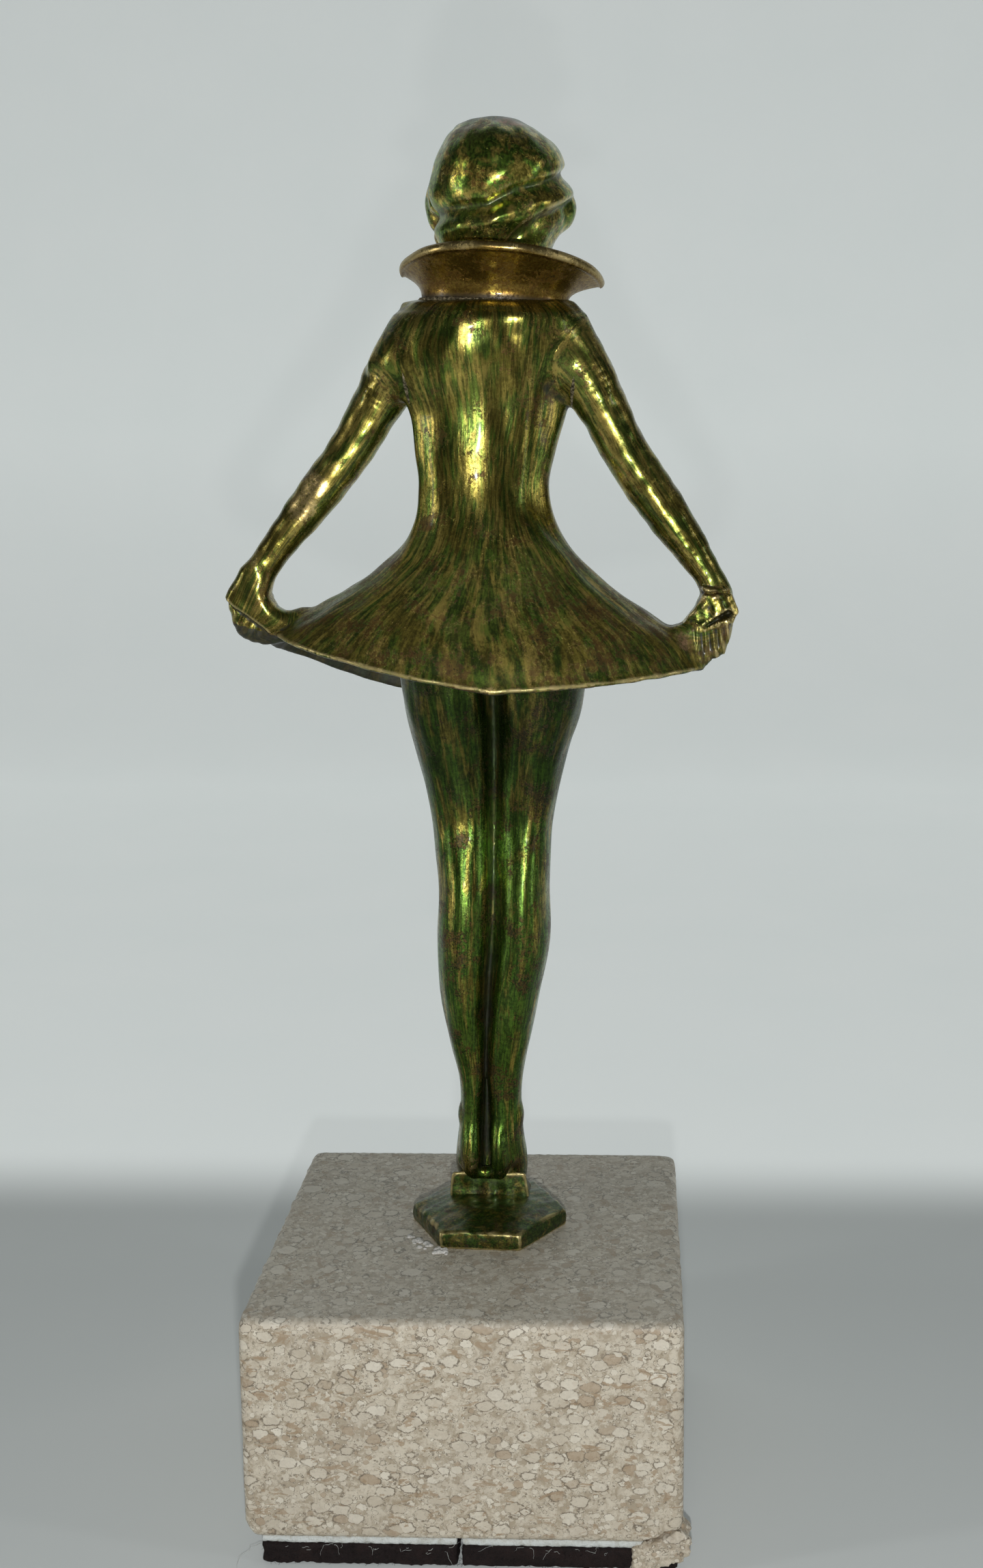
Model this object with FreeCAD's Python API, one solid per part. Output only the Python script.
import FreeCAD, Part
import math
import os

# A cast bronze figure of a dancer who holds out the hem of her skirt, on a hexagonal
# bronze plinth bolted down to a square limestone block with two felt pads under it.
#
# Frame: millimetres, +Z up, origin at the centre of the underside of the felt pads.
# She faces -Y, so her left hand is on the +X side.
# Every "rise" below is a height above the top face of the stone.

Vector = FreeCAD.Vector

# ---- driving dimensions: the base ----
STONE_WIDTH = 75.0
STONE_HEIGHT = 40.0
STONE_BEVEL = 1.2
FELT_THICKNESS = 4.0
BACKING_THICKNESS = 1.3
PAD_GAP = 0.8
PAD_GAP_X = 0.7
PAD_EDGE_LEFT = 34.7
PAD_EDGE_RIGHT = -36.6
PAD_HALF_DEPTH = 36.6
STONE_UNDERSIDE = FELT_THICKNESS + BACKING_THICKNESS
STONE_TOP = STONE_UNDERSIDE + STONE_HEIGHT

# ---- driving dimensions: the bronze plinth and its M5 fixing ----
PLINTH_X = -1.8
PLINTH_Y = -3.0
PLINTH_CORNER_RADIUS = 14.7
PLINTH_EDGE_HEIGHT = 2.9
PLINTH_DOME_RISE = 1.5
PLINTH_BEVEL = 0.7
PLINTH_TURN = -3.0
WEDGE_BACK_Y = -4.5
WEDGE_FRONT_Y = -14.6
WEDGE_TOP_RISE = 11.8
STUD_X = -2.2
STUD_Y = -8.6
STUD_RADIUS = 2.5
STUD_TOP_RISE = 6.5
CLEARANCE_HOLE_RADIUS = 2.75
COUNTERBORE_RADIUS = 9.0
COUNTERBORE_DEPTH = 14.0
WASHER_RADIUS = 7.5
WASHER_THICKNESS = 1.2
SPRING_WASHER_RADIUS = 4.6
SPRING_WASHER_THICKNESS = 1.2
NUT_ACROSS_FLATS = 8.0
NUT_HEIGHT = 4.7

# ---- driving dimensions: the figure ----
BODY_Y = -5.0
SKIRT_WALL = 2.6
SKIRT_HOLLOW_TOP = 121.0
NECK_X = -5.2
NECK_RADIUS = 5.0
NECK_SOCKET_RISE = 161.0
COLLAR_WALL = 1.5
DOWEL_RADIUS = 1.0
FIT_GAP = 0.02

# A section is (rise, x low, x high, y front, y back).
BODICE_AND_SKIRT = [
    (168.4, -14.5, 6.5, -11.5, 2.5),
    (166.4, -18.0, 10.6, -12.3, 3.2),
    (162.0, -19.6, 12.6, -12.9, 3.8),
    (156.0, -18.6, 11.2, -14.4, 3.9),
    (150.0, -17.0, 9.3, -15.4, 3.4),
    (143.0, -14.8, 8.5, -14.6, 2.6),
    (136.5, -13.8, 8.0, -13.0, 2.6),
    (130.0, -15.4, 10.0, -13.8, 4.2),
    (124.0, -19.6, 15.2, -16.2, 6.6),
    (118.5, -25.8, 23.2, -19.2, 9.2),
    (114.5, -31.6, 30.6, -21.4, 11.4),
    (109.5, -38.4, 37.6, -23.4, 14.2),
    (104.0, -41.6, 40.2, -25.0, 16.6),
    (92.0, -44.0, 42.0, -27.0, 18.4),
]

# Each leg is (rise, x low, x high, y front, y back); the two meet near the middle.
LEG_RIGHT = [
    (121.0, -17.6, -2.6, -13.6, 3.4),
    (109.0, -20.4, -3.0, -15.0, 5.6),
    (98.0, -19.5, -3.1, -14.6, 5.0),
    (87.0, -16.2, -2.9, -13.6, 3.2),
    (76.0, -13.9, -2.9, -12.6, 1.2),
    (65.0, -13.5, -3.0, -12.0, 0.6),
    (55.0, -13.5, -3.0, -11.8, 1.8),
    (46.0, -11.8, -2.6, -11.2, 1.8),
    (36.0, -9.7, -2.1, -9.8, 0.2),
    (28.0, -8.0, -2.0, -8.4, -1.2),
    (22.0, -7.5, -2.3, -8.4, -1.4),
    (15.0, -8.2, -2.5, -10.6, -1.6),
    (10.0, -8.4, -2.6, -13.4, -4.2),
    (6.0, -8.2, -2.8, -15.0, -9.2),
    (4.6, -7.4, -3.4, -14.6, -11.2),
]
LEG_LEFT = [
    (121.0, -3.4, 11.0, -13.6, 3.4),
    (109.0, -4.0, 13.3, -15.0, 5.6),
    (98.0, -4.1, 12.4, -14.6, 5.0),
    (87.0, -3.5, 10.0, -13.6, 3.2),
    (76.0, -3.3, 7.7, -12.6, 1.2),
    (65.0, -3.4, 6.8, -12.0, 0.6),
    (55.0, -3.4, 7.2, -11.8, 1.8),
    (46.0, -3.0, 6.8, -11.2, 1.8),
    (36.0, -2.4, 5.3, -9.8, 0.2),
    (28.0, -2.1, 3.5, -8.4, -1.2),
    (22.0, -1.9, 3.1, -8.4, -1.4),
    (15.0, -1.8, 4.0, -10.6, -1.6),
    (10.0, -1.8, 4.2, -13.4, -4.2),
    (6.0, -2.0, 4.0, -15.0, -9.2),
    (4.6, -2.6, 3.2, -14.6, -11.2),
]

HEAD = [
    (199.2, -6.6, -3.6, -8.2, -3.8),
    (197.2, -11.2, 1.2, -12.6, 1.6),
    (194.0, -15.4, 4.6, -15.6, 5.0),
    (190.0, -17.3, 5.9, -17.2, 7.4),
    (184.5, -18.4, 7.0, -17.6, 8.4),
    (181.0, -17.2, 5.6, -17.2, 7.8),
    (177.6, -14.2, 4.4, -16.4, 5.6),
    (174.4, -10.0, -0.6, -14.8, 0.0),
]

# The cloth bunched in each hand: (x, y, rise, radius).
GATHER_LEFT = [(31.0, -3.8, 112.8, 2.2), (36.0, -3.6, 112.0, 2.5), (40.6, -3.4, 111.8, 2.0)]
GATHER_RIGHT = [(-33.0, -3.8, 110.4, 2.6), (-38.6, -3.6, 108.9, 3.4), (-43.2, -3.4, 109.2, 3.0)]

# Each arm is a list of (x, y, rise, radius) from inside the shoulder to the fingertips.
LEFT_ARM = [
    (4.6, -4.6, 162.0, 4.4),
    (9.0, -4.7, 160.2, 5.8),
    (13.0, -4.8, 156.2, 5.3),
    (16.5, -5.0, 151.0, 4.4),
    (21.0, -5.0, 143.6, 3.95),
    (26.9, -4.8, 136.0, 3.8),
    (32.6, -4.4, 129.0, 3.1),
    (37.0, -4.0, 123.4, 2.5),
    (39.4, -3.8, 119.0, 3.1),
    (39.6, -3.6, 114.6, 3.7),
    (37.6, -3.4, 110.6, 2.6),
]
RIGHT_ARM = [
    (-11.6, -4.6, 162.2, 4.4),
    (-16.2, -4.7, 160.4, 5.8),
    (-20.0, -4.8, 156.2, 5.3),
    (-23.3, -5.0, 150.6, 4.4),
    (-27.1, -5.0, 143.2, 4.0),
    (-31.9, -4.8, 136.0, 4.1),
    (-36.8, -4.4, 129.0, 3.6),
    (-41.6, -4.0, 122.2, 2.5),
    (-43.6, -3.8, 117.4, 3.0),
    (-43.4, -3.6, 112.4, 3.6),
    (-40.8, -3.4, 107.6, 2.8),
]


def above_stone(rise):
    return STONE_TOP + rise


def closed_curve(points):
    curve = Part.BSplineCurve()
    curve.interpolate(Points=points, PeriodicFlag=True)
    return Part.Wire([curve.toShape()])


def oval(rise, x_low, x_high, y_front, y_back, count=14):
    """A level rounded section with the given limits."""
    centre_x = (x_low + x_high) / 2
    centre_y = (y_front + y_back) / 2
    points = []
    for step in range(count):
        angle = 2 * math.pi * step / count
        x = centre_x + (x_high - x_low) / 2 * math.cos(angle)
        y = centre_y + (y_back - y_front) / 2 * math.sin(angle)
        points.append(Vector(x, y, above_stone(rise)))
    return closed_curve(points)


def stacked(sections):
    """A solid through level sections."""
    return Part.makeLoft([oval(*section) for section in sections], True, False)


def limb(stations, count=12):
    """A solid of round sections square to the line through the stations."""
    centres = [Vector(x, y, above_stone(rise)) for x, y, rise, radius in stations]
    wires = []
    for index, station in enumerate(stations):
        before = centres[max(index - 1, 0)]
        after = centres[min(index + 1, len(centres) - 1)]
        along = (after - before).normalize()
        across = along.cross(Vector(0, 1, 0)).normalize()
        upright = across.cross(along).normalize()
        points = []
        for step in range(count):
            angle = 2 * math.pi * step / count
            offset = across * math.cos(angle) + upright * math.sin(angle)
            points.append(centres[index] + offset * station[3])
        wires.append(closed_curve(points))
    return Part.makeLoft(wires, True, False)


def cylinder(radius, x, y, z_low, z_high):
    return Part.makeCylinder(radius, z_high - z_low, Vector(x, y, z_low))


def rod(radius, start, end):
    along = Vector(*end) - Vector(*start)
    return Part.makeCylinder(radius, along.Length, Vector(*start), along)


def box(x_low, x_high, y_low, y_high, z_low, z_high):
    size = (x_high - x_low, y_high - y_low, z_high - z_low)
    return Part.makeBox(*size, Vector(x_low, y_low, z_low))


def prism_along_y(edges, y_low, y_high):
    """A closed outline drawn in the plane y = 0, carried from y_low to y_high."""
    face = Part.Face(Part.Wire(edges))
    face.translate(Vector(0, y_low, 0))
    return face.extrude(Vector(0, y_high - y_low, 0))


def polygon_edges(points):
    corners = [Vector(*point) for point in points]
    return Part.makePolygon(corners + corners[:1]).Edges


# ---- the base ----

def corner_break():
    """The wedge of stone that has broken off the lower back corner on the -X side."""
    half = STONE_WIDTH / 2
    low = STONE_UNDERSIDE
    outline = [(-half - 1, 0, low - 1), (-half - 1, 0, low + 4.6), (-half + 2.6, 0, low + 3.0),
               (-half + 9.0, 0, low), (-half + 9.0, 0, low - 1)]
    return prism_along_y(polygon_edges(outline), half - 7.0, half + 1)


def stone_base():
    half = STONE_WIDTH / 2
    block = box(-half, half, -half, half, STONE_UNDERSIDE, STONE_TOP)
    block = block.makeChamfer(STONE_BEVEL, block.Edges)
    hole = cylinder(CLEARANCE_HOLE_RADIUS, STUD_X, STUD_Y, STONE_UNDERSIDE, STONE_TOP)
    recess_top = STONE_UNDERSIDE + COUNTERBORE_DEPTH
    recess = cylinder(COUNTERBORE_RADIUS, STUD_X, STUD_Y, STONE_UNDERSIDE, recess_top)
    worn = [(half - 3.0, 0, STONE_UNDERSIDE - 1), (half + 1, 0, STONE_UNDERSIDE - 1),
            (half + 1, 0, STONE_UNDERSIDE + 3.4)]
    worn_corner = prism_along_y(polygon_edges(worn), half - 9.0, half + 1)
    return block.cut(hole).cut(recess).cut(worn_corner).cut(corner_break())


def corner_chip():
    """The broken corner, glued back a little low and a little proud."""
    half = STONE_WIDTH / 2
    low = STONE_UNDERSIDE - 3.2
    outline = [(-half - 1.0, 0, low + 1.2), (-half - 0.4, 0, low + 4.2),
               (-half + 1.0, 0, low + 5.8), (-half + 2.4, 0, low + 4.9),
               (-half + 8.2, 0, low + 3.2), (-half + 8.0, 0, low + 2.6),
               (-half + 1.6, 0, low)]
    chip = prism_along_y(polygon_edges(outline), half - 6.6, half + 0.5)
    return chip.cut(stone_base())


def pad(x_low, x_high, z_low, z_high):
    layer = box(x_low, x_high, -PAD_HALF_DEPTH, PAD_HALF_DEPTH, z_low, z_high)
    half = STONE_WIDTH / 2
    chip_room = box(-half - 2, -half + 8.6, half - 7.0, half + 1, 1.6, STONE_UNDERSIDE)
    return layer.cut(chip_room)


def pads():
    left = (PAD_GAP_X + PAD_GAP / 2, PAD_EDGE_LEFT)
    right = (PAD_EDGE_RIGHT, PAD_GAP_X - PAD_GAP / 2)
    return {
        "felt_pad_left": pad(*left, 0, FELT_THICKNESS),
        "felt_pad_right": pad(*right, 0, FELT_THICKNESS),
        "pad_backing_left": pad(*left, FELT_THICKNESS, STONE_UNDERSIDE),
        "pad_backing_right": pad(*right, FELT_THICKNESS, STONE_UNDERSIDE),
    }


# ---- the plinth and its fixing ----

def hexagon(radius, z, turn=PLINTH_TURN, x=PLINTH_X, y=PLINTH_Y):
    corners = []
    for step in range(6):
        angle = math.radians(60 * step + turn)
        corners.append(Vector(x + radius * math.cos(angle), y + radius * math.sin(angle), z))
    return Part.makePolygon(corners + corners[:1])


def hex_plinth():
    """A hexagonal plate with bevelled edges and a top that rises slightly to the middle."""
    flat = Part.Face(hexagon(PLINTH_CORNER_RADIUS, STONE_TOP))
    plate = flat.extrude(Vector(0, 0, PLINTH_EDGE_HEIGHT - PLINTH_BEVEL))
    rims = [
        hexagon(PLINTH_CORNER_RADIUS, above_stone(PLINTH_EDGE_HEIGHT - PLINTH_BEVEL)),
        hexagon(PLINTH_CORNER_RADIUS - PLINTH_BEVEL, above_stone(PLINTH_EDGE_HEIGHT)),
        hexagon(PLINTH_CORNER_RADIUS * 0.35,
                above_stone(PLINTH_EDGE_HEIGHT + PLINTH_DOME_RISE)),
    ]
    top = Part.makeLoft(rims, True, True)
    solid = plate.fuse(top).removeSplitter()
    bore = cylinder(STUD_RADIUS + FIT_GAP, STUD_X, STUD_Y, STONE_TOP - 1, above_stone(10))
    return solid.cut(bore)


def foot_wedge():
    """The sloping block under the raised heels, narrower at the top than at the foot."""
    side = Part.Face(Part.makePolygon([
        Vector(-20, WEDGE_FRONT_Y, STONE_TOP),
        Vector(-20, WEDGE_BACK_Y + 0.6, STONE_TOP),
        Vector(-20, WEDGE_BACK_Y, above_stone(WEDGE_TOP_RISE)),
        Vector(-20, WEDGE_FRONT_Y, above_stone(PLINTH_EDGE_HEIGHT + 1.4)),
        Vector(-20, WEDGE_FRONT_Y, STONE_TOP)]))
    ramp = side.extrude(Vector(40, 0, 0))
    taper = prism_along_y(polygon_edges([
        (-9.8, 0, STONE_TOP), (5.2, 0, STONE_TOP),
        (3.6, 0, above_stone(WEDGE_TOP_RISE + 1)), (-8.2, 0, above_stone(WEDGE_TOP_RISE + 1))]),
        -20, 10)
    bore = cylinder(STUD_RADIUS + FIT_GAP, STUD_X, STUD_Y, STONE_TOP, above_stone(STUD_TOP_RISE))
    return ramp.common(taper).cut(hex_plinth()).cut(legs()).cut(bore)


def fixing():
    """Stud, washers and nut, hidden in the counterbore of the stone."""
    seat = STONE_UNDERSIDE + COUNTERBORE_DEPTH
    washer_low = seat - WASHER_THICKNESS
    spring_low = washer_low - SPRING_WASHER_THICKNESS
    nut_low = spring_low - NUT_HEIGHT
    hole = cylinder(STUD_RADIUS + FIT_GAP, STUD_X, STUD_Y, 0, STONE_TOP)
    washer = cylinder(WASHER_RADIUS, STUD_X, STUD_Y, washer_low, seat)
    spring = cylinder(SPRING_WASHER_RADIUS, STUD_X, STUD_Y, spring_low, washer_low)
    split = box(STUD_X, STUD_X + 8, STUD_Y - 0.4, STUD_Y + 0.4, spring_low, washer_low)
    nut_face = Part.Face(hexagon(NUT_ACROSS_FLATS / math.sqrt(3), nut_low, 0, STUD_X, STUD_Y))
    nut = nut_face.extrude(Vector(0, 0, NUT_HEIGHT))
    stud_top = above_stone(STUD_TOP_RISE)
    return {
        "mounting_stud": cylinder(STUD_RADIUS, STUD_X, STUD_Y, nut_low - 2.0, stud_top),
        "washer": washer.cut(hole),
        "spring_washer": spring.cut(hole).cut(split),
        "fixing_nut": nut.cut(hole),
    }


# ---- the figure ----

def legs():
    """Both legs and feet, one casting, standing on tiptoe."""
    pair = stacked(LEG_RIGHT).fuse(stacked(LEG_LEFT))
    hip_bore = cylinder(STUD_RADIUS, PLINTH_X - 1.4, BODY_Y, above_stone(108), above_stone(130))
    return pair.cut(hip_bore)


def hem_edges(arcs):
    """The outline of everything below a hem made of circular arcs."""
    edges = []
    for start, middle, end in arcs:
        edges.append(Part.Arc(Vector(*start), Vector(*middle), Vector(*end)).toShape())
    first = Vector(*arcs[0][0])
    last = Vector(*arcs[-1][2])
    floor = above_stone(80)
    low_right = Vector(last.x, 0, floor)
    low_left = Vector(first.x, 0, floor)
    edges.append(Part.makeLine(last, low_right))
    edges.append(Part.makeLine(low_right, low_left))
    edges.append(Part.makeLine(low_left, first))
    return edges


def below_back_hem():
    """Two shallow arcs that meet in a low point behind the right leg."""
    low_point = (-4.8, 0, above_stone(102.7))
    right = ((-56, 0, above_stone(109.0)), (-24, 0, above_stone(103.9)), low_point)
    left = (low_point, (17, 0, above_stone(106.4)), (50, 0, above_stone(117.6)))
    return prism_along_y(hem_edges([right, left]), BODY_Y, 40)


def below_front_hem():
    """A fuller swag, lowest in front of the left leg."""
    low_point = (6, 0, above_stone(96.8))
    right = ((-56, 0, above_stone(109.0)), (-22, 0, above_stone(101.0)), low_point)
    left = (low_point, (23, 0, above_stone(102.4)), (50, 0, above_stone(117.6)))
    return prism_along_y(hem_edges([right, left]), -50, BODY_Y)


def skirt_hollow():
    top = (SKIRT_HOLLOW_TOP, -18.6, 13.6, -15.0, 5.2)
    lower = []
    for rise, x_low, x_high, y_front, y_back in BODICE_AND_SKIRT:
        if rise < SKIRT_HOLLOW_TOP - 2:
            lower.append((rise - 0.4, x_low + SKIRT_WALL, x_high - SKIRT_WALL,
                          y_front + SKIRT_WALL, y_back - SKIRT_WALL))
    return stacked([top] + lower + [(80,) + lower[-1][1:]])


def neck_socket():
    return cylinder(NECK_RADIUS, NECK_X, BODY_Y, above_stone(NECK_SOCKET_RISE), above_stone(180))


def dowels():
    """Steel dowels that locate the castings before they are brazed."""
    hip_rise = (109.0, 129.0)
    return {
        "neck_dowel": cylinder(DOWEL_RADIUS, NECK_X, BODY_Y, above_stone(153), above_stone(170)),
        "left_shoulder_dowel": rod(DOWEL_RADIUS, (5.0, -4.8, above_stone(156.4)),
                                   (13.5, -4.8, above_stone(156.4))),
        "right_shoulder_dowel": rod(DOWEL_RADIUS, (-20.5, -4.8, above_stone(156.0)),
                                    (-12.0, -4.8, above_stone(156.0))),
        "hip_stud": cylinder(STUD_RADIUS, PLINTH_X - 1.4, BODY_Y,
                             above_stone(hip_rise[0]), above_stone(hip_rise[1])),
    }


def gathers():
    return limb(GATHER_LEFT).fuse(limb(GATHER_RIGHT))


def dress():
    """Bodice and thin-walled skirt with its bunched ends, one casting."""
    skin = stacked(BODICE_AND_SKIRT)
    shell = skin.cut(skirt_hollow()).cut(below_back_hem()).cut(below_front_hem())
    shell = shell.fuse(gathers()).cut(neck_socket())
    for dowel in dowels().values():
        shell = shell.cut(dowel)
    return shell


def rim_wire(centre_x, half_width, y_front, y_back, rise, slope_x, slope_y, count=16):
    """A closed oval in a tilted plane."""
    centre_y = (y_front + y_back) / 2
    points = []
    for step in range(count):
        angle = 2 * math.pi * step / count
        x = centre_x + half_width * math.cos(angle)
        y = centre_y + (y_back - y_front) / 2 * math.sin(angle)
        z = above_stone(rise) + slope_x * (x - centre_x) + slope_y * (y - BODY_Y)
        points.append(Vector(x, y, z))
    return closed_curve(points)


def collar():
    """A stiff turned-out collar, higher behind than in front, open at the throat."""
    outside = [
        rim_wire(-4.6, 12.6, -13.0, 3.6, 167.9, 0.065, 0.0),
        rim_wire(-5.3, 15.2, -16.6, 7.4, 170.3, 0.065, 0.09),
        rim_wire(-5.85, 16.9, -19.0, 10.4, 172.8, 0.065, 0.19),
    ]
    inside = [
        rim_wire(-4.6, 12.6 - COLLAR_WALL, -13.0 + COLLAR_WALL, 3.6 - COLLAR_WALL,
                 168.9, 0.065, 0.0),
        rim_wire(-5.3, 15.2 - COLLAR_WALL, -16.6 + COLLAR_WALL, 7.4 - COLLAR_WALL,
                 171.1, 0.065, 0.09),
        rim_wire(-5.85, 16.9 - COLLAR_WALL * 0.6, -19.0 + COLLAR_WALL * 0.6,
                 10.4 - COLLAR_WALL * 0.6, 173.0, 0.065, 0.19),
    ]
    throat = prism_along_y(polygon_edges([
        (NECK_X - 0.4, 0, above_stone(167)), (NECK_X + 0.4, 0, above_stone(167)),
        (NECK_X + 5.5, 0, above_stone(180)), (NECK_X - 5.5, 0, above_stone(180))]), -30, BODY_Y - 6)
    bowl = Part.makeLoft(outside, True, False).cut(Part.makeLoft(inside, True, False))
    return bowl.cut(throat).cut(neck_socket()).cut(stacked(BODICE_AND_SKIRT))


def head():
    """Head, waved bob and neck, one casting."""
    neck = cylinder(NECK_RADIUS - FIT_GAP, NECK_X, BODY_Y,
                    above_stone(NECK_SOCKET_RISE), above_stone(180))
    solid = stacked(HEAD).fuse(neck)
    return solid.cut(dowels()["neck_dowel"])


def arm(stations, dowel_name, rivet):
    """One arm and hand; the hand is notched over the hem."""
    solid = limb(stations).cut(stacked(BODICE_AND_SKIRT)).cut(gathers())
    pieces = sorted(solid.Solids, key=lambda piece: piece.Volume)
    return pieces[-1].cut(dowels()[dowel_name]).cut(rivet)


def hem_rivets():
    """Brass rivets that hold the hands to the hem."""
    return {
        "left_hand_rivet": rod(0.8, (34.0, -3.6, above_stone(113.4)),
                               (40.0, -3.6, above_stone(113.4))),
        "right_hand_rivet": rod(0.8, (-43.2, -3.6, above_stone(111.6)),
                                (-36.0, -3.6, above_stone(111.6))),
    }


def brazes(body, left, right, band):
    """Beads of brazing metal left standing in the joints."""
    seam = [rim_wire(-4.6, 13.0, -12.6, 4.0, 167.3, 0.065, 0.0),
            rim_wire(-4.6, 13.3, -12.9, 4.3, 168.0, 0.065, 0.0),
            rim_wire(-4.6, 13.0, -12.6, 4.0, 168.7, 0.065, 0.0)]
    ring = Part.makeLoft(seam, True, False)
    left_bead = limb([(9.0, -1.2, 150.6, 0.5), (10.4, -0.2, 154.4, 0.9), (11.4, -0.6, 159.0, 0.5)])
    right_bead = limb([(-17.4, -1.2, 150.2, 0.5), (-18.8, -0.2, 154.0, 0.9),
                       (-19.2, -0.6, 158.6, 0.5)])
    return {
        "collar_braze": ring.cut(band).cut(body).cut(neck_socket()),
        "left_armpit_braze": left_bead.cut(body).cut(left),
        "right_armpit_braze": right_bead.cut(body).cut(right),
    }


def build():
    body = dress()
    rivets = hem_rivets()
    left = arm(LEFT_ARM, "left_shoulder_dowel", rivets["left_hand_rivet"])
    right = arm(RIGHT_ARM, "right_shoulder_dowel", rivets["right_hand_rivet"])
    for rivet in rivets.values():
        body = body.cut(rivet)
    band = collar()
    nodes = {
        "stone_base": stone_base(),
        "corner_chip": corner_chip(),
        "hex_plinth": hex_plinth(),
        "foot_wedge": foot_wedge(),
        "legs": legs(),
        "dress": body,
        "collar": band,
        "head": head(),
        "left_arm": left,
        "right_arm": right,
    }
    nodes.update(pads())
    nodes.update(fixing())
    nodes.update(dowels())
    nodes.update(rivets)
    nodes.update(brazes(body, left, right, band))
    return nodes


def largest_solids(shape, share=0.02):
    """Drop slivers left by the cuts."""
    biggest = max(solid.Volume for solid in shape.Solids)
    kept = [solid for solid in shape.Solids if solid.Volume > share * biggest]
    return kept[0] if len(kept) == 1 else Part.makeCompound(kept)


os.makedirs("parts", exist_ok=True)
for name, shape in build().items():
    part = largest_solids(shape)
    part.exportStep("parts/" + name + ".step")
    print(name, len(part.Solids), "solids", round(part.Volume, 1), "mm3", part.isValid())
